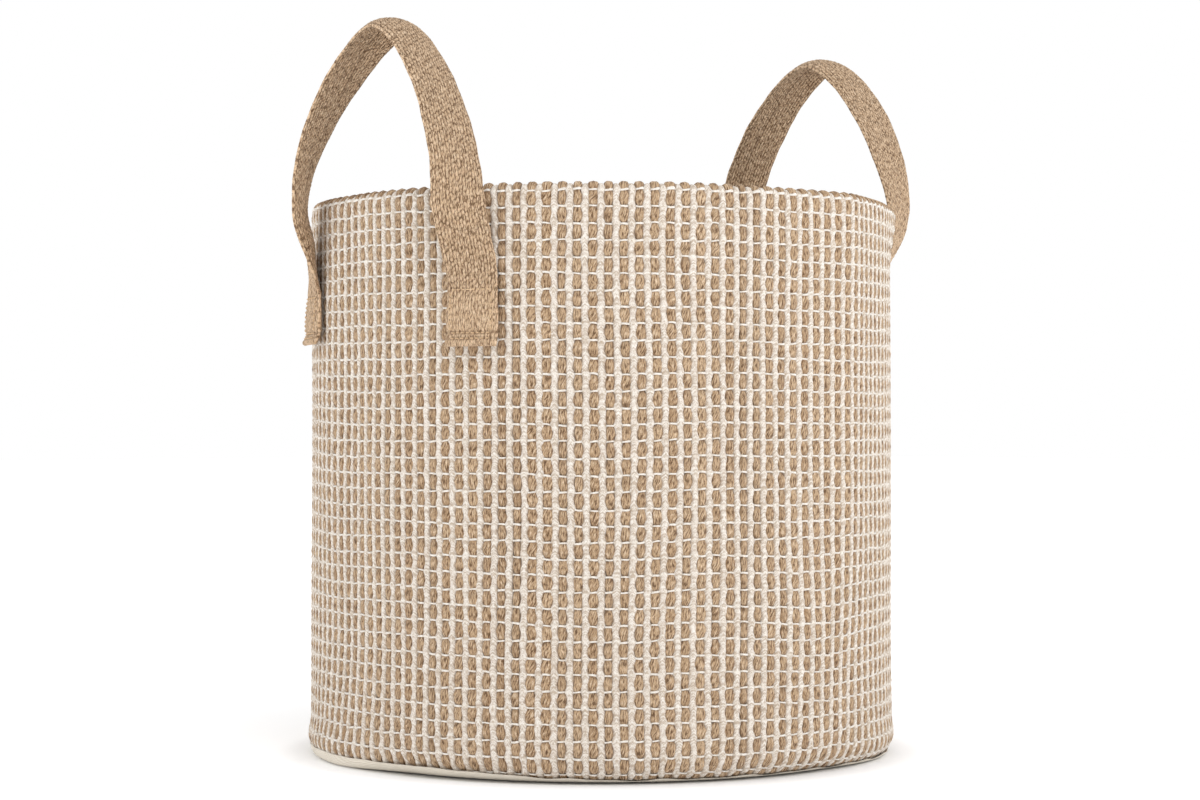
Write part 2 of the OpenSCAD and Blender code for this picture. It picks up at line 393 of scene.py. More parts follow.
def canvas_material(name, light, shade):
    """Plain cotton canvas, with a fine square weave, painted with shade between the threads and light on the
    raised threads.
    """
    n = Nodes(name)
    where = n.stretch((1, 1, 1))
    weave = []
    for axis in ("X", "Y", "Z"):
        band = n.node("ShaderNodeTexWave", Vector=where, Scale=260.0, Distortion=1.2, Detail=1.5)
        band.bands_direction = axis
        weave.append(band.outputs["Fac"])
    height = n.math("MULTIPLY", n.math("ADD", n.math("ADD", weave[0], weave[1]), weave[2]), 0.33)
    blotch = n.noise(160.0, 4.0, 0.6, where)
    # Painted shade and light of the weave: darker where the weave is low, lighter where it is raised.
    colour = n.blend(n.between(height, 0.2, 0.75), shade, light)
    colour = n.blend(n.math("MULTIPLY", n.between(blotch, 0.45, 0.7), 0.3), colour, shade)
    return n.finish(colour, n.math("ADD", 0.8, n.math("MULTIPLY", blotch, 0.15)), height, 0.25 * MM, 0.15)


# For each jute the third colour is the painted shade colour of its hollows and fibre grooves.
cord_jute = jute_material("cord_jute", srgb(202, 172, 138), srgb(178, 146, 112), srgb(90, 62, 38),
                          0.75 * MM, 4 * MM)
webbing_jute = jute_material("webbing_jute", srgb(231, 201, 167), srgb(206, 173, 138), srgb(104, 76, 50),
                             0.65 * MM, 3.8 * MM)
# For the cottons, the ground cloth, the canvas and the threads, the second colour is the painted shade colour
# of their hollows and low spots.
warp_cotton = cotton_material("warp_cotton", srgb(236, 228, 218), srgb(178, 157, 133))
weft_cotton = cotton_material("weft_cotton", srgb(245, 241, 235), srgb(222, 210, 194))
ground_brown = ground_material("ground_brown", srgb(168, 138, 106), srgb(120, 92, 64))
cream_canvas = canvas_material("cream_canvas", srgb(242, 235, 221), srgb(214, 203, 186))
thread_jute = ground_material("thread_jute", srgb(232, 204, 168), srgb(190, 156, 118))
thread_wax = ground_material("thread_wax", srgb(206, 182, 132), srgb(150, 124, 80))


def paint(piece, material):
    piece.data.materials.clear()
    piece.data.materials.append(material)
    return piece


# ---------------------------------------------------------------- woven wall

ROWS_BELOW = 36                       # wefts below the highest one on the outside
ROWS_OVER = 3                         # wefts past it, over the rim and down the hem
WEFT_AT = TOP_WEFT + ROW * np.arange(-ROWS_BELOW, ROWS_OVER + 1)
CELL_STEPS = 9                        # rings of points from one weft to the next
CELLS = ROWS_BELOW + ROWS_OVER + 3    # cells up a column, with a part cell at each end
S_LAST = PATH_ENDS[3]
cord_width = 1 + 0.11 * rng.standard_normal(COLUMNS).clip(-1.6, 1.6)
cord_tone = 0.5 + 0.2 * rng.standard_normal(COLUMNS)
cord_turn = rng.uniform(0, TAU, COLUMNS)
bead_width = 1 + 0.06 * rng.standard_normal((COLUMNS, CELLS))
bead_tone = 0.16 * rng.standard_normal((COLUMNS, CELLS))
row_drift = [(rng.integers(2, 9), rng.uniform(0, TAU), rng.uniform(0.1, 0.45)) for _ in range(24)]
side_drift = [(rng.integers(1, 7), rng.uniform(0, TAU), rng.uniform(0.1, 0.4)) for _ in range(8)]


def column_angle(column, s):
    """Direction of a column at path distance s. Columns wander a little."""
    sway = sum(a * np.sin(k * 2 * s / BODY_H + p + column * (0.21 + 0.13 * k)) for k, p, a in side_drift)
    return TAU * (column + 0.05 * sway) / COLUMNS


def row_shift(theta, row):
    """How far a row wanders up or down at angle theta."""
    k, p, a = row_drift[int(row) % len(row_drift)]
    return (a * np.sin(k * theta + p) + 0.25 * np.sin(3 * theta + 0.35 * row)) * MM


def cell_of(s):
    """Cell number and place within the cell (0 at its lower weft, 1 at its upper) for path distance s."""
    u = (s - WEFT_AT[0]) / ROW
    return np.floor(u).astype(int), u - np.floor(u)


def bell(f, power):
    """0 at both ends of a cell and 1 in its middle; the lower the power, the flatter the top."""
    return np.abs(np.sin(np.pi * f)) ** power


def warp_rings(columns, half_column):
    """Angles, path distances, cell numbers and places in the cell of each ring of the columns given."""
    s_list = np.arange(0, S_LAST + 1e-6, ROW / CELL_STEPS)
    s = np.broadcast_to(s_list, (len(columns), len(s_list)))
    theta = column_angle(columns[:, None] + half_column, s)
    cell, place = cell_of(s)
    return theta, s, np.clip(cell + 1, 0, CELLS - 1), place


def warp_mesh(name, columns, half_column, section, material):
    """Yarns up the wall.

    section(theta, s, cell, place) gives their offsets across and outward, and their attributes.
    """
    theta, s, cell, place = warp_rings(columns, half_column)
    across, out, attributes = section(theta, s, cell, place)
    angle = theta[..., None] + across / cloth_path(s)[0][..., None]
    where = cloth_point(angle, np.broadcast_to(s[..., None], angle.shape), out)
    quads, caps = tube_faces(len(columns), s.shape[1], angle.shape[2])
    flat = {key: np.broadcast_to(value, angle.shape) for key, value in attributes.items()}
    made = new_object(name, where.reshape(-1, 3), quads, caps, flat)
    return paint(made, material)


# Angles round a yarn's section, close together on its outer half. 90 degrees faces out.
SIDE_ANGLES = np.radians([0, 22, 45, 68, 90, 112, 135, 158, 180, 225, 270, 315])
cord_slant = rng.normal(0.16, 0.12, COLUMNS)                 # sideways run of the fibres along a cord
bead_lean = 0.35 * MM * rng.standard_normal((COLUMNS, CELLS))
cotton_pitch = rng.uniform(8.6, 12.5, COLUMNS) * MM          # length of one turn of the cotton's twist


def at_rim(s):
    """1 where the cloth turns over the rim, 0 elsewhere."""
    middle = (PATH_ENDS[1] + PATH_ENDS[2]) / 2
    return smooth(1 - np.abs(s - middle) / (7 * MM))


def superellipse(power):
    """Across and outward parts of a rounded section of unit half width, at each side angle."""
    c, d = np.cos(SIDE_ANGLES), np.sin(SIDE_ANGLES)
    size = (np.abs(c) ** power + np.abs(d) ** power) ** (-1 / power)
    return c * size, d * size


def cord_section(theta, s, cell, place):
    """A jute cord: full between two wefts and pinched under each, with fibres that run slightly aslant."""
    column = np.round(theta[:, :1] / TAU * COLUMNS).astype(int) % COLUMNS
    full = np.maximum(bell(place, 0.62), at_rim(s))
    width = 3.1 * MM * cord_width[column] * bead_width[column, cell] * mix(0.50, 1.04, full)
    thick = 2.4 * MM * mix(0.50, 1.0, full)
    c, d = superellipse(2.7)
    slant = cord_slant[column] * s + bead_lean[column, cell] * np.sin(TAU * place)
    fibre = SIDE_ANGLES * 2.9 * MM + slant[..., None]
    ply = np.cos(fibre / (1.9 * MM) * TAU + cord_turn[column][..., None])
    relief = 1 + 0.045 * ply
    across = width[..., None] * c * mix(1, relief, 0.5)
    out = np.where(d > 0, thick[..., None] * relief, 2.1 * MM) * d + (0.35 * MM * full)[..., None]
    # Random tone per cord and bead, plus painted light and shade that follow the ply ridges: lighter on the
    # ridges, darker in the grooves.
    tone = (cord_tone[column] + bead_tone[column, cell])[..., None] + 0.10 * ply
    # Painted shade mask, 1 where none is painted: low where the cord is pinched under a weft, on its back
    # towards the wall, and in its ply grooves.
    painted_shade_mask = mix(0.25, 1.0, smooth(full * 1.5))[..., None]
    painted_shade_mask = painted_shade_mask * (0.45 + 0.55 * smooth(d * 1.6)) * (0.86 + 0.14 * ply)
    return across, out, {"tone": tone, "shade_mask": painted_shade_mask, "around": fibre + column[..., None] * 0.05,
                         "along": np.broadcast_to(s[..., None], across.shape)}


def cotton_section(theta, s, cell, place):
    """A cotton column of two strands twisted together, widest where a weft goes under it."""
    column = np.floor(theta[:, :1] / TAU * COLUMNS).astype(int) % COLUMNS
    full = bell(place, 0.7)
    low = 1 - 0.45 * at_rim(s)
    width = 3.5 * MM * mix(1.0, 0.78, full) / bead_width[column, cell] ** 0.7 * mix(1, low, 0.5)
    thick = 2.7 * MM * mix(1.0, 0.86, full) * low
    turn = (3 * cord_turn[column] + s / cotton_pitch[column] * TAU)[..., None]
    strand = -np.cos(2 * SIDE_ANGLES - 1.1 * np.sin(turn))
    fine = np.cos(5 * SIDE_ANGLES + 3.4 * turn)
    relief = 1 + 0.13 * strand + 0.06 * fine
    c, d = superellipse(2.0)
    across = width[..., None] * c * relief
    out = np.where(d > 0, thick[..., None] * relief, 2.0 * MM) * d
    # Random tone per bead, plus painted light that follows the fine twist: lighter on its ridges.
    tone = 0.35 + 2 * bead_tone[column, cell][..., None] - 0.15 * fine
    # Painted shade mask, 1 where none is painted: low in the grooves between the strands and of the fine
    # twist, and on the back towards the wall.
    painted_shade_mask = np.clip(0.62 + 0.36 * strand + 0.22 * fine, 0, 1) * (0.5 + 0.5 * smooth(d * 1.8))
    around = np.abs(SIDE_ANGLES - math.pi / 2) * 2.6 * MM + (s * 0.8)[..., None] + column[..., None] * 0.05
    return across, out, {"tone": tone, "shade_mask": painted_shade_mask, "around": around,
                         "along": np.broadcast_to(s[..., None], across.shape)}


def wefts(name, rows, material):
    """White cotton wefts: over each jute cord on the outside, under each cotton column."""
    steps, sides = COLUMNS * 8, 6
    t = np.arange(steps) / steps
    around = np.radians(np.arange(sides) * 360 / sides)
    points, tones, weft_shade_masks, arounds, alongs = [], [], [], [], []
    for row in rows:
        s0 = WEFT_AT[row]
        jogs = np.resize(rng.normal(0, 0.3 * MM, COLUMNS), COLUMNS + 1)
        jog = np.interp(t * COLUMNS, np.arange(COLUMNS + 1), jogs)
        wiggle = jog + 0.2 * MM * np.sin(COLUMNS * TAU * t + row * 2.1)
        theta = TAU * t + column_angle(0, s0)
        over = 0.5 + 0.5 * np.cos(COLUMNS * TAU * t)
        height = mix(-2.6 * MM, 2.1 * MM, smooth(over * 1.9 - 0.15))
        thick = 0.55 * MM * (1 + 0.16 * np.sin(37 * TAU * t + row) + 0.12 * np.sin(COLUMNS * 3 * TAU * t))
        s = s0 + wiggle + row_shift(theta, row)
        ring_s = s[:, None] + 1.1 * thick[:, None] * np.cos(around)
        ring_h = height[:, None] + 0.85 * thick[:, None] * np.sin(around)
        arounds.append(np.broadcast_to(around * 0.7 * MM, ring_s.shape))
        alongs.append(np.broadcast_to((t * TAU * BODY_R)[:, None], ring_s.shape))
        points.append(cloth_point(np.broadcast_to(theta[:, None], ring_s.shape), ring_s, ring_h))
        tones.append(np.broadcast_to(0.3 + 0.2 * np.sin(29 * TAU * t)[:, None], ring_s.shape))
        # Painted shade: darker where the weft dips under a cotton column.
        weft_shade_masks.append(np.broadcast_to(mix(0.35, 1, smooth(over * 2))[:, None], ring_s.shape))
    quads, _ = tube_faces(len(rows), steps, sides, closed=True)
    made = new_object(name, np.concatenate(points).reshape(-1, 3), quads[:, ::-1], None,
                      {"tone": np.concatenate(tones), "shade_mask": np.concatenate(weft_shade_masks),
                       "around": np.concatenate(arounds), "along": np.concatenate(alongs)})
    return paint(made, material)


def ground_cloth(name):
    """The thin ground that closes the weave between the yarns, as one closed skin."""
    turns, steps = 256, 96
    s = np.linspace(0, S_LAST, steps)
    theta = np.arange(turns) / turns * TAU
    skins = []
    for offset in (0.2 * MM, -0.2 * MM):
        g_t, g_s = np.meshgrid(theta, s, indexing="ij")
        skins.append(cloth_point(g_t, g_s, np.full(g_t.shape, offset)))
    loop = np.concatenate([skins[0], skins[1][:, ::-1]], 1)
    quads, _ = tube_faces(1, turns, steps * 2, closed=True)
    made = new_object(name, loop.reshape(-1, 3), quads)
    return paint(made, ground_brown)


wall = ground_cloth("wall_ground_cloth")
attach(wall, "basket")
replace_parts(wall, "wall_panel")
yarns = []
column_groups = np.array_split(np.arange(COLUMNS), 8)
for part, columns in enumerate(column_groups):
    yarns.append(warp_mesh(f"jute_cords_{part + 1}", columns, 0.0, cord_section, cord_jute))
for part, columns in enumerate(column_groups):
    yarns.append(warp_mesh(f"cotton_columns_{part + 1}", columns, 0.5, cotton_section, warp_cotton))
weft_rows = np.array_split(np.arange(len(WEFT_AT))[WEFT_AT > 0], 3)
for part, rows in enumerate(weft_rows):
    yarns.append(wefts(f"cotton_wefts_{part + 1}", rows, weft_cotton))
for yarn in yarns:
    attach(yarn, "basket")


# ---------------------------------------------------------------- base

def lathe(name, profile, steps, material, move):
    """A closed profile of (radius, height) turned about Z. move(theta, r, z) shifts each point."""
    theta = np.arange(steps) / steps * TAU
    r = np.broadcast_to([p[0] for p in profile], (steps, len(profile)))
    z = np.broadcast_to([p[1] for p in profile], (steps, len(profile)))
    g = np.broadcast_to(theta[:, None], r.shape)
    r, z = move(g, r, z)
    points = np.stack([r * np.cos(g), r * np.sin(g), z], -1)
    quads, _ = tube_faces(1, steps, len(profile), closed=True)
    made = new_object(name, points.reshape(-1, 3), quads)
    return paint(made, material)


BAND_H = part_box("base_band")[1].z


def band_height(theta):
    """The canvas edge stands high on the left and front, and sinks away towards the right."""
    side = camera_side(theta)
    right = smooth((side + math.radians(38)) / math.radians(46))
    right = right * smooth((math.radians(150) - side) / math.radians(40))
    ripple = 0.35 * MM * np.sin(23 * theta) + 0.3 * MM * np.sin(41 * theta + 1)
    return BAND_H + 0.5 * MM - 4.9 * MM * right + ripple * (0.35 + right)


def base_band():
    """A canvas strip round the foot: outside face, rolled top edge, and back."""
    steps, rise = 720, np.linspace(0, 1, 9)
    theta = np.arange(steps) / steps * TAU
    top = band_height(theta)
    g, k = np.meshgrid(theta, rise, indexing="ij")
    z = k * top[:, None]
    lean = np.sqrt(np.clip(1 - ((BODY_R - BASE_R - z) / (BODY_R - BASE_R)) ** 2, 0, 1))
    r = mix(BASE_R + 1 * MM + foot_shift(g), BODY_R + 1.6 * MM, lean) + 0.3 * MM * np.sin(57 * g) * k
    inner_r = r - mix(1.2 * MM, 0.7 * MM, k)
    outer = np.stack([r * np.cos(g), r * np.sin(g), z], -1)
    inner = np.stack([inner_r * np.cos(g), inner_r * np.sin(g), np.maximum(z - 0.2 * MM, 0.05 * MM)], -1)
    loop = np.concatenate([outer, inner[:, ::-1]], 1)
    quads, _ = tube_faces(1, steps, loop.shape[1], closed=True)
    made = new_object("base_band_canvas", loop.reshape(-1, 3), quads)
    return paint(made, cream_canvas)


band = base_band()
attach(band, "basket")
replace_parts(band, "base_band")
DISC_R = BASE_R + 0.5 * MM


def disc_shift(theta, r, z):
    """The disc's rim follows the foot of the wall, and its upper face is gently uneven."""
    uneven = np.sin(r * np.cos(theta) * 43) * np.sin(r * np.sin(theta) * 37 + 1)
    return r + foot_shift(theta) * (r / DISC_R) ** 6, z + 0.5 * MM * (z > 0) * uneven


disc_rings = np.linspace(0.05 * MM, DISC_R, 40)
disc_profile = [(r, BASE_T) for r in disc_rings]
disc_profile += [(r, 0.0) for r in disc_rings[::-1]]
disc = lathe("base_canvas", disc_profile, 180, cream_canvas, disc_shift)
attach(disc, "basket")
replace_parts(disc, "base_panel")

# ---------------------------------------------------------------- webbing handles

STRAP_W = 35.5 * MM
STRAP_T = 4 * MM
SEWN_TOP = 62 * MM
SEWN_END = 102.5 * MM
FOLD_H = BODY_H + 1 * MM
LEG_FOOT = BODY_H - SEWN_TOP + 0.5 * MM
LEG_R = BODY_R + STRAP_T / 2 + 0.5 * MM
SEWN_HALF_T = 2.9 * MM               # half the thickness of the folded end
V_END = -1 - (SEWN_END - SEWN_TOP) / SEWN_TOP

# A handle has its heading, the rise and the distance from the axis of its top, its distance from the axis at
# the rim, the half width of its round top, and its legs. A leg has its side of the handle, its distance from
# the handle's middle at the rim, how fast it twists, the angle to its sewn end, and the length of that end
# against the usual.
Handle = namedtuple("Handle", "heading rise reach bulge crown legs")
Leg = namedtuple("Leg", "name side spread twist angle share")
HANDLES = {
    "left": Handle(math.pi, 108 * MM, 187 * MM, 216.5 * MM, 26 * MM, (
        Leg("front", 1, 81 * MM, 2.4, math.radians(23), 1),
        Leg("rear", -1, 76.5 * MM, 1.35, math.radians(26), 0.877),
    )),
    "right": Handle(math.radians(-7.5), 115.5 * MM, 200 * MM, 217.2 * MM, 36 * MM, (
        Leg("front", -1, 86 * MM, 2.4, math.radians(22), 1),
        Leg("rear", 1, 93 * MM, 1.35, math.radians(22), 1),
    )),
}


def strap_middle(v, handle, leg):
    """Middle of the webbing, on side 1 of a handle that faces +X.

    v is 1 at the top, 0 at the rim and -1 where the webbing meets the wall. Below -1 it is sewn down.
    """
    v = np.asarray(v, float)
    rim_angle = math.asin(leg.spread / handle.bulge)
    down = np.clip(v, -1, 0)
    r = mix(LEG_R, handle.bulge, smooth(np.minimum(1, 1.15 * (1 + down))))
    a = mix(leg.angle, rim_angle, 1 + down)
    z = mix(FOLD_H, LEG_FOOT, -down) - np.maximum(-1 - v, 0) * SEWN_TOP * leg.share
    leg_points = np.stack([r * np.cos(a), r * np.sin(a), z], -1)
    top = handle.rise - 1 * MM
    t = np.clip(v, 0, 1)
    bends = [(leg.spread, 0), (leg.spread - 3 * MM, top * 0.36), (handle.crown, top), (0, top)]
    weights = [(1 - t) ** 3, 3 * (1 - t) ** 2 * t, 3 * (1 - t) * t * t, t ** 3]
    x = mix(handle.bulge * math.cos(rim_angle), handle.reach, smooth(t))
    y = sum(w * bend[0] for w, bend in zip(weights, bends))
    z = FOLD_H + sum(w * bend[1] for w, bend in zip(weights, bends))
    return np.where((v <= 0)[..., None], leg_points, np.stack([x, y, z], -1))


def strap_frame(v, handle, leg):
    """Middle, direction across, and direction out of the face, at each v."""
    step = 0.01
    p = strap_middle(v, handle, leg)
    along = unit(strap_middle(np.minimum(1, v + step), handle, leg) - strap_middle(v - step, handle, leg))
    along = np.where((v <= -1)[..., None], [0, 0, 1.0], along)
    x = unit(np.array([1.0, 0, 0]) - along[..., :1] * along)
    u = (p[..., 2] - LEG_FOOT) / (BODY_H + handle.rise - LEG_FOOT)
    a = mix(leg.angle, math.pi / 2, 1 - (1 - np.clip(u, 0, 1)) ** leg.twist)[..., None]
    face = unit(np.cos(a) * x + np.sin(a) * np.cross(along, [1.0, 0, 0]))
    return p, np.cross(along, face), face


def placed(points, handle, leg):
    """Points on side 1 of a handle that faces +X, moved to the leg's own side and the handle's heading."""
    c, s = math.cos(handle.heading), math.sin(handle.heading)
    return (points * [1, leg.side, 1]) @ np.array([[c, s, 0], [-s, c, 0], [0, 0, 1]])


STEP = 0.62 * MM                     # between the rings of points along the webbing


def walk(handle, leg, v_from, v_to):
    """Values of v at equal steps along the webbing, with the distance walked to each from the sewn end."""
    v = np.linspace(V_END, 1, 4000)
    p = strap_middle(v, handle, leg)
    dist = np.concatenate([[0], np.cumsum(np.linalg.norm(np.diff(p, axis=0), axis=1))])
    d0, d1 = np.interp([v_from, v_to], v, dist)
    count = max(2, int(round((d1 - d0) / STEP)) + 1)
    d = np.linspace(d0, d1, count)
    return np.interp(d, dist, v), d


GRAIN_W = STRAP_W / 16
GRAIN_L = 3.2 * MM
OUTER_SEED, INNER_SEED = 3, 43


def hash01(i, j, seed):
    """A number from 0 to 1 that looks random and is always the same for grain i, j."""
    return np.abs(np.sin(i * 127.1 + j * 311.7 + seed * 74.7) * 43758.5453) % 1.0


def webbing_relief(x, d, seed):
    """Height (0 to 1) and tone of the webbing's staggered grains at x across and d along."""
    best = np.zeros(np.broadcast(x, d).shape)
    tone = np.zeros_like(best)
    u = x / GRAIN_W + 7.5
    for di in (-1, 0, 1):
        i = np.floor(u) + di
        v = d / GRAIN_L + 0.5 * (i % 2)
        for dj in (-1, 0, 1):
            j = np.floor(v) + dj
            cx = i + 0.5 + 0.12 * (hash01(i, j, seed) - 0.5)
            cy = j + 0.5 + 0.24 * (hash01(i, j, seed + 1) - 0.5)
            lean = 0.4 * (hash01(i, j, seed + 2) - 0.3)
            fat = 0.53 + 0.10 * (hash01(i, j, seed + 3) - 0.5)
            long = 0.58 + 0.14 * (hash01(i, j, seed + 4) - 0.5)
            a, b = u - cx, v - cy
            a = a - lean * b
            h = 1 - (a / fat) ** 2 - (b / long) ** 2
            h = np.clip(h, 0, 1) ** 0.6 * (0.8 + 0.2 * hash01(i, j, seed + 5))
            tone = np.where(h > best, hash01(i, j, seed + 6), tone)
            best = np.maximum(best, h)
    return best, tone


def strap_swell(v, d):
    """Half thickness of the webbing at v and d along, and how far its middle stands out.

    The sewn end is folded double.
    """
    grow = np.clip((-1 - v) * SEWN_TOP / (SEWN_END - SEWN_TOP), 0, 1)
    end = np.clip(1 - d / (3.2 * MM), 0, 1)
    pinch = stitch_pinch(v)
    half = mix(STRAP_T / 2, SEWN_HALF_T, smooth(grow * 1.6)) - 0.5 * MM * pinch
    push = mix(0, 0.6 * MM, smooth(grow * 1.6)) - 0.4 * MM * pinch + 2.6 * MM * smooth(grow * 4 - 3)
    return half * mix(0.12, 1, np.sqrt(1 - end ** 2)), push


def cupping(leg, v, x):
    """How far the webbing is curled out of its plane at v, x across.

    The rear legs form a channel below the rim, and the edges of the loop's top turn down.
    """
    x = (x / (STRAP_W / 2)) ** 2
    depth = 5.0 * MM if leg.name == "rear" else 1.2 * MM
    channel = depth * np.exp(-((v + 0.45) / 0.36) ** 2) * smooth((v + 1) / 0.5)
    crown = 5.0 * MM * smooth((v - 0.35) / 0.55)
    return channel[:, None] * (x - 1)[None, :] - crown[:, None] * (x - 0.45)[None, :]


def narrowing(leg, v, d):
    """Width of the webbing against its full width: it is drawn in near the rim, and wavers a little."""
    tuck = 0.22 if leg.name == "rear" else 0.05
    drawn = 0.06 * np.exp(-((v + 0.72) / 0.3) ** 2) + tuck * np.exp(-((v + 0.12) / 0.45) ** 2)
    return 1 - drawn + 0.012 * np.sin(d / (7 * MM)) + 0.008 * np.sin(d / (2.9 * MM) + 1)


def strap_points(handle, leg, v, d):
    """Points of the webbing's rings, with their tone, painted shade mask, and places across and along.

    Each ring goes across the outer face and back along the inner one.
    """
    across_steps = 78
    p, across, face = strap_frame(v, handle, leg)
    x = np.linspace(-1, 1, across_steps) * STRAP_W / 2
    x = np.sign(x) * STRAP_W / 2 * (1 - (1 - np.abs(x) / (STRAP_W / 2)) ** 1.15)
    edge = (1 - np.abs(x / (STRAP_W / 2)) ** 7) ** 0.5
    half, push = strap_swell(v, d)
    flat = smooth((-1.0 - v) / 0.3)                 # the sewn part is pressed smoother
    hug = smooth((-0.6 - v) / 0.4)                  # and follows the round wall
    width = narrowing(leg, v, d)
    rings, tones, painted_shade_masks = [], [], []
    for side, seed in ((1, OUTER_SEED), (-1, INNER_SEED)):
        h, tone = webbing_relief(x[None, :], d[:, None], seed)
        # The grain height also serves as the painted shade mask: darker between the grains. Each row of
        # stitches presses the grains down, and the same factor paints shade along the row.
        h = mix(h, 0.75 + 0.25 * h, (0.42 * flat)[:, None]) * (1 - 0.55 * stitch_pinch(v))[:, None]
        level = half[:, None] * edge - 0.95 * MM * (1 - h) * np.minimum(edge, 0.9) + 0.25 * MM
        level = np.maximum(level, 0.15 * MM)
        bend = (x ** 2 / (2 * BODY_R))[None, :] * hug[:, None]
        offset = push[:, None] + side * level - bend + cupping(leg, v, x)
        sideways = across[:, None] * (width[:, None] * x)[..., None]
        ring = p[:, None] + sideways + face[:, None] * offset[..., None]
        if side < 0:                                # painted shade: a long dark line, like the shade of a fold, runs down the inner face
            fold = x[None, :] - (3.0 + 2.5 * np.sin(d / (31 * MM) + 3))[:, None] * MM
            h = h * (1 - 0.6 * (1 - flat)[:, None] * np.exp(-(fold / (0.9 * MM)) ** 2))
        rings.append(ring[:, ::side])
        tones.append(tone[:, ::side])
        painted_shade_masks.append(h[:, ::side])
    points = placed(np.concatenate(rings, 1), handle, leg)
    across_at = np.broadcast_to(np.concatenate([x, x[::-1]]), points.shape[:2])
    along_at = np.broadcast_to(d[:, None], points.shape[:2])
    return points, np.concatenate(tones, 1), np.concatenate(painted_shade_masks, 1), across_at, along_at


ROW_DROPS = (66.4 * MM, 93.4 * MM, 96.9 * MM)       # rows of stitches below the rim


def stitch_pinch(v):
    """1 where a row of stitches pulls the webbing down, 0 away from them."""
    drop = SEWN_TOP * -v - 0.5 * MM
    return sum(deep * np.exp(-((drop - row) / (1.2 * MM)) ** 2) for row, deep in zip(ROW_DROPS, (0.2, 1, 1)))


def strap_object(name, blocks, flip):
    """One closed ribbon from blocks of rings that follow on from each other. flip turns its faces outward."""
    points = np.concatenate([b[0] for b in blocks])
    rings, sides = points.shape[:2]
    quads, caps = ribbon_faces(rings, sides // 2)
    if flip:
        quads, caps = quads[:, ::-1], caps[:, ::-1]
    made = new_object(name, points.reshape(-1, 3), quads, caps, {
        "tone": 0.2 + 0.6 * np.concatenate([b[1] for b in blocks]),
        "shade_mask": np.concatenate([b[2] for b in blocks]),
        "around": np.concatenate([b[3] for b in blocks]),
        "along": np.concatenate([b[4] for b in blocks]),
    })
    return paint(made, webbing_jute)


SPLIT = -0.5                                     # where the sewn length of webbing meets the loop's
for hand, handle in HANDLES.items():
    first, second = sorted(handle.legs, key=lambda leg: -leg.side)
    rising = strap_points(handle, first, *walk(handle, first, SPLIT, 1))
    falling = strap_points(handle, second, *walk(handle, second, SPLIT, 1))
    blocks = [rising, tuple(values[::-1][1:] for values in falling)]
    loop = strap_object(f"{hand}_handle_webbing", blocks, False)
    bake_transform(loop)
    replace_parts(loop, f"{hand}_handle_loop")
    for leg in handle.legs:
        block = strap_points(handle, leg, *walk(handle, leg, V_END, SPLIT))
        foot = strap_object(f"{hand}_{leg.name}_sewn_webbing", [block], leg.side < 0)
        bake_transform(foot)
        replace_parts(foot, f"{hand}_{leg.name}_strap_end", f"{hand}_{leg.name}_strap_leg")

# ---------------------------------------------------------------- tape and stitches

def stitch_row(name, where, out, material, radius=0.42 * MM):
    """Short rounded stitches. where holds each stitch's two ends, and out the direction it stands out in."""
    a, b = where[:, 0], where[:, 1]
    sides = np.arange(6) * TAU / 6
    t = np.array([0.0, 0.08, 0.3, 0.5, 0.7, 0.92, 1.0])
    size = np.array([0.2, 0.75, 1.0, 1.05, 1.0, 0.75, 0.2])
    arch = np.array([-0.9, -0.35, 0.15, 0.25, 0.15, -0.35, -0.9]) * radius
    across = unit(np.cross(unit(b - a), out))
    middle = a[:, None] + (b - a)[:, None] * t[None, :, None] + out[:, None] * arch[None, :, None]
    ring = across[:, None] * np.cos(sides)[:, None] + out[:, None] * np.sin(sides)[:, None]
    points = middle[:, :, None] + ring[:, None] * (size * radius)[:, None, None]
    quads, caps = tube_faces(len(a), len(t), len(sides))
    made = new_object(name, points.reshape(-1, 3), quads, caps)
    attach(made, "basket")
    return paint(made, material)


def run_of_stitches(first, last, pitch, length):
    """Start and end of each stitch between two places."""
    count = max(1, int(round((last - first) / pitch)))
    starts = first + (last - first) * (np.arange(count) + 0.12) / count
    return starts, starts + length


def level_s(z):
    """Path distance at which the outside of the cloth reaches height z."""
    return PATH_ENDS[0] + z - CORNER_Z


def inward(theta):
    """Direction from the wall to the bin's axis."""
    return np.stack([-np.cos(theta), -np.sin(theta), 0 * theta], -1)


# The tape over the side seam, inside.
TAPE_LOW, TAPE_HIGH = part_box("side_seam_tape")
SEAM = math.atan2((TAPE_LOW.y + TAPE_HIGH.y) / 2, (TAPE_LOW.x + TAPE_HIGH.x) / 2)
TAPE_W = 22 * MM
TAPE_STEPS = 25


def tape_skin(depth):
    """Points of one face of the tape, at a depth inside the middle of the wall's cloth."""
    turns = np.linspace(-0.5, 0.5, TAPE_STEPS) * TAPE_W / BODY_R
    turn, z = np.meshgrid(turns, np.linspace(TAPE_LOW.z, TAPE_HIGH.z, 160), indexing="xy")
    ripple = 0.25 * MM * np.sin(z / (9 * MM)) + 0.2 * MM * np.sin(z / (23 * MM) + 1)
    return cloth_point(SEAM + turn + 0.002 * np.sin(z * 40), level_s(z), ripple - depth)


tape_points = np.concatenate([tape_skin(2.7 * MM), tape_skin(3.5 * MM)[:, ::-1]], 1)
quads, caps = ribbon_faces(len(tape_points), TAPE_STEPS)
tape = new_object("seam_tape_canvas", tape_points.reshape(-1, 3), quads, caps)
paint(tape, cream_canvas)
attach(tape, "basket")
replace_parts(tape, "side_seam_tape")

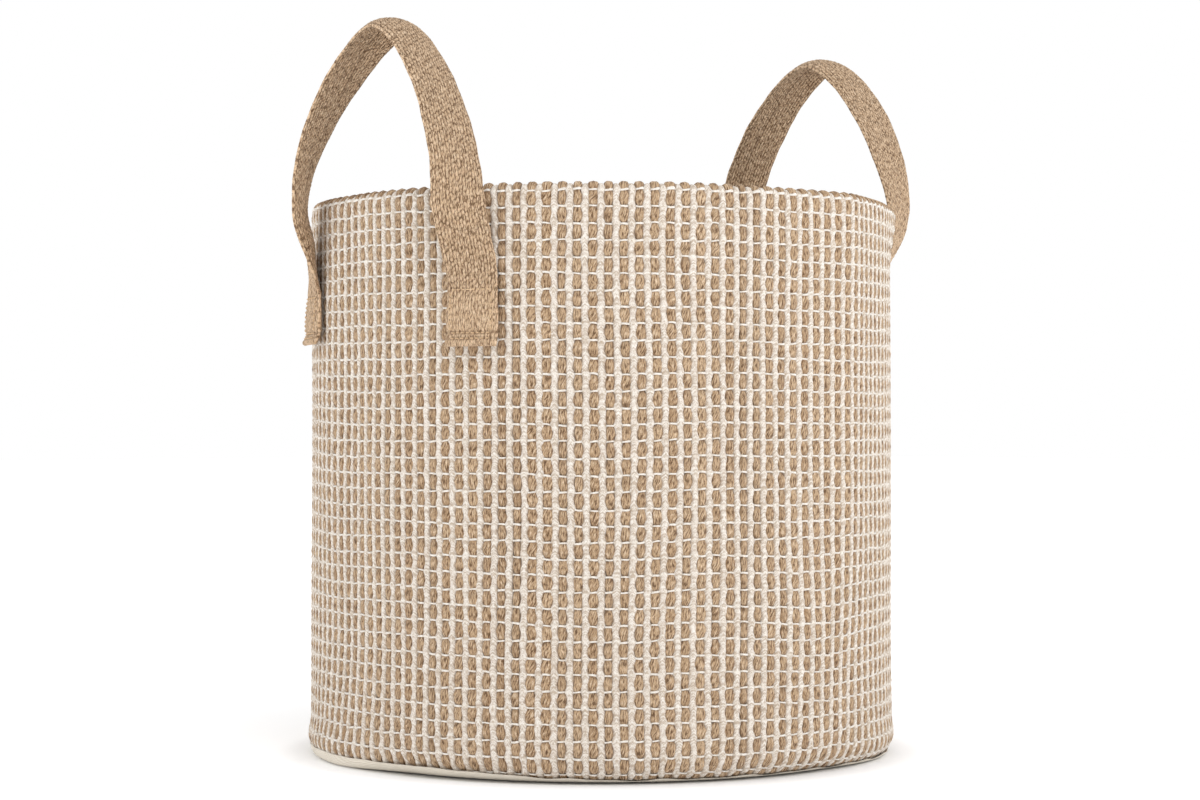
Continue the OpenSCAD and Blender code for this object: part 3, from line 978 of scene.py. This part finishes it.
a_z, b_z = run_of_stitches(TAPE_LOW.z + 2 * MM, TAPE_HIGH.z - 2 * MM, 4.2 * MM, 3.2 * MM)
pairs, outs = [], []
for side in (-1, 1):
    angle = np.full(len(a_z), SEAM + side * 0.32 * TAPE_W / BODY_R)
    pairs.append(np.stack([cloth_point(angle, level_s(z), -3.75 * MM) for z in (a_z, b_z)], 1))
    outs.append(inward(angle))
seam_thread = stitch_row("seam_stitches", np.concatenate(pairs), np.concatenate(outs), thread_wax)
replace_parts(seam_thread, "side_seam_stitching")

# The row that holds the turned-in cloth, inside below the rim.
a_t, b_t = run_of_stitches(0, TAU, 4.5 * MM / BODY_R, 3.4 * MM / BODY_R)
hem_s = PATH_ENDS[2] + HEM_DEPTH - 5.6 * MM
pair = np.stack([cloth_point(t, np.full(len(t), hem_s), 2.75 * MM) for t in (a_t, b_t)], 1)
hem_thread = stitch_row("hem_stitches", pair, inward(a_t), thread_wax, 0.5 * MM)
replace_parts(hem_thread, "hem_stitching")

# The row round the base.
ring_r = BASE_R - 3.8 * MM
pair = []
for t in (a_t, b_t):
    r = ring_r + foot_shift(t) * (ring_r / DISC_R) ** 6
    pair.append(np.stack([r * np.cos(t), r * np.sin(t), np.full(len(t), BASE_T + 0.45 * MM)], -1))
pair = np.stack(pair, 1)
base_thread = stitch_row("base_stitches", pair, np.tile([0, 0, 1.0], (len(a_t), 1)), thread_wax)
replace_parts(base_thread, "base_stitching")

# The squares that hold the ends of the webbing: three rows across, and one down each side.
ROW_HALF = 13.8 * MM
SIDE_X = 14.2 * MM
across_a, across_b = run_of_stitches(-ROW_HALF, ROW_HALF, 3.4 * MM, 2.4 * MM)
down_a, down_b = run_of_stitches(ROW_DROPS[0] + 1.5 * MM, ROW_DROPS[1] - 1 * MM, 3.4 * MM, 2.5 * MM)
spots = [((x0, drop), (x1, drop)) for drop in ROW_DROPS for x0, x1 in zip(across_a, across_b)]
spots += [((side * SIDE_X, z0), (side * SIDE_X, z1)) for side in (-1, 1) for z0, z1 in zip(down_a, down_b)]


def box_stitches(hand, handle, leg):
    """One square of stitches. spots holds the two ends of each stitch as (across, drop from the rim)."""
    ends = []
    for x, drop in np.array(spots).transpose(1, 2, 0):
        v = -1 - (LEG_FOOT - BODY_H + drop) / SEWN_TOP
        p, sideways, face = strap_frame(v, handle, leg)
        half, push = strap_swell(v, np.full(len(v), 1.0))
        proud = np.where(np.abs(x) > (ROW_HALF + SIDE_X) / 2, -0.1 * MM, 0.25 * MM)
        off = half + push - x ** 2 / (2 * BODY_R) + proud
        ends.append(placed(p + sideways * x[:, None] + face * off[:, None], handle, leg))
    name = f"{hand}_{leg.name}_box_stitches"
    return stitch_row(name, np.stack(ends, 1), placed(face, handle, leg), thread_jute, 0.5 * MM)


for hand, handle in HANDLES.items():
    for leg in handle.legs:
        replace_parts(box_stitches(hand, handle, leg), f"{hand}_{leg.name}_box_stitching")

# ---------------------------------------------------------------- stage, light and camera

def area_light(name, place, aim, size, power):
    data = bpy.data.lights.new(name, "AREA")
    data.shape = "RECTANGLE"
    data.size, data.size_y = size
    data.energy = power
    made = bpy.data.objects.new(name, data)
    made.location = place
    made.rotation_euler = (Vector(aim) - Vector(place)).to_track_quat("-Z", "Y").to_euler()
    bpy.context.scene.collection.objects.link(made)
    return made


def from_view(right, back, up):
    """A place given from the bin's axis: to the viewer's right, towards the viewer, and up."""
    a = VIEW_AZIMUTH
    return Vector((
        right * math.cos(a) + back * math.sin(a),
        right * math.sin(a) - back * math.cos(a),
        up,
    ))


def studio_world():
    """White behind the bin, and a softer light on it, brighter from above."""
    world = bpy.data.worlds.new("studio")
    world.use_nodes = True
    tree = world.node_tree
    sky = tree.nodes["Background"]
    sky.inputs["Color"].default_value = (1, 1, 1, 1)
    where = tree.nodes.new("ShaderNodeTexCoord")
    split = tree.nodes.new("ShaderNodeSeparateXYZ")
    ramp = tree.nodes.new("ShaderNodeMapRange")
    ramp.inputs["From Min"].default_value, ramp.inputs["From Max"].default_value = -0.3, 0.9
    ramp.inputs["To Min"].default_value, ramp.inputs["To Max"].default_value = 0.40, 0.70
    seen = tree.nodes.new("ShaderNodeLightPath")
    pick = tree.nodes.new("ShaderNodeMix")
    pick.inputs["B"].default_value = 1.0
    tree.links.new(where.outputs["Generated"], split.inputs[0])
    tree.links.new(split.outputs["Z"], ramp.inputs["Value"])
    tree.links.new(seen.outputs["Is Camera Ray"], pick.inputs["Factor"])
    tree.links.new(ramp.outputs[0], pick.inputs["A"])
    tree.links.new(pick.outputs["Result"], sky.inputs["Strength"])
    return world


def studio_floor():
    """A white floor that glows a little away from the bin, so that only the contact shadow shows."""
    bpy.ops.mesh.primitive_plane_add(size=30, location=(0, 0, -0.0004))
    made = bpy.context.object
    made.name = "floor"
    white = Nodes("studio_white")
    place = white.tree.nodes.new("ShaderNodeTexCoord")
    reach = white.node("ShaderNodeVectorMath", Vector=place.outputs["Object"])
    reach.operation = "LENGTH"
    glows = []
    for near, far, most in ((0.190, 0.224, 0.32), (0.25, 1.6, 0.36)):
        glow = white.node("ShaderNodeMapRange", Value=reach.outputs["Value"])
        glow.inputs["From Min"].default_value, glow.inputs["From Max"].default_value = near, far
        glow.inputs["To Min"].default_value, glow.inputs["To Max"].default_value = 0.0, most
        glows.append(glow.outputs[0])
    white.shader.inputs["Base Color"].default_value = (0.94, 0.945, 0.955, 1)
    white.shader.inputs["Roughness"].default_value = 0.9
    white.shader.inputs["Emission Color"].default_value = (1, 1, 1, 1)
    white.set(white.shader.inputs["Emission Strength"], white.math("ADD", *glows))
    made.data.materials.append(white.material)
    return made


bpy.context.scene.view_settings.view_transform = "Standard"
bpy.context.scene.world = studio_world()
studio_floor()

area_light("key", from_view(0.6, 1.5, 2.0), (0, 0, 0.25), (1.3, 1.3), 14.4)
area_light("fill_left", from_view(-2.0, 0.8, 0.9), (0, 0, 0.2), (1.6, 1.6), 11)
area_light("fill_right", from_view(2.0, 0.8, 0.9), (0, 0, 0.2), (1.6, 1.6), 11)

camera_data = bpy.data.cameras.new("camera")
camera_data.sensor_width = 36
camera_data.lens = 78.69                         # mm, on the 36 mm sensor
camera = bpy.data.objects.new("camera", camera_data)
CAMERA_DISTANCE, CAMERA_HEIGHT = 1.82, 0.22
camera.location = from_view(0, CAMERA_DISTANCE, CAMERA_HEIGHT)
RISE, SIDE = 0.01144, -0.00057                   # slopes of the view, upward and to the right
aim = from_view(SIDE * CAMERA_DISTANCE, 0, CAMERA_HEIGHT + RISE * CAMERA_DISTANCE)
camera.rotation_euler = (aim - camera.location).to_track_quat("-Z", "Y").to_euler()
bpy.context.scene.collection.objects.link(camera)
bpy.context.scene.camera = camera
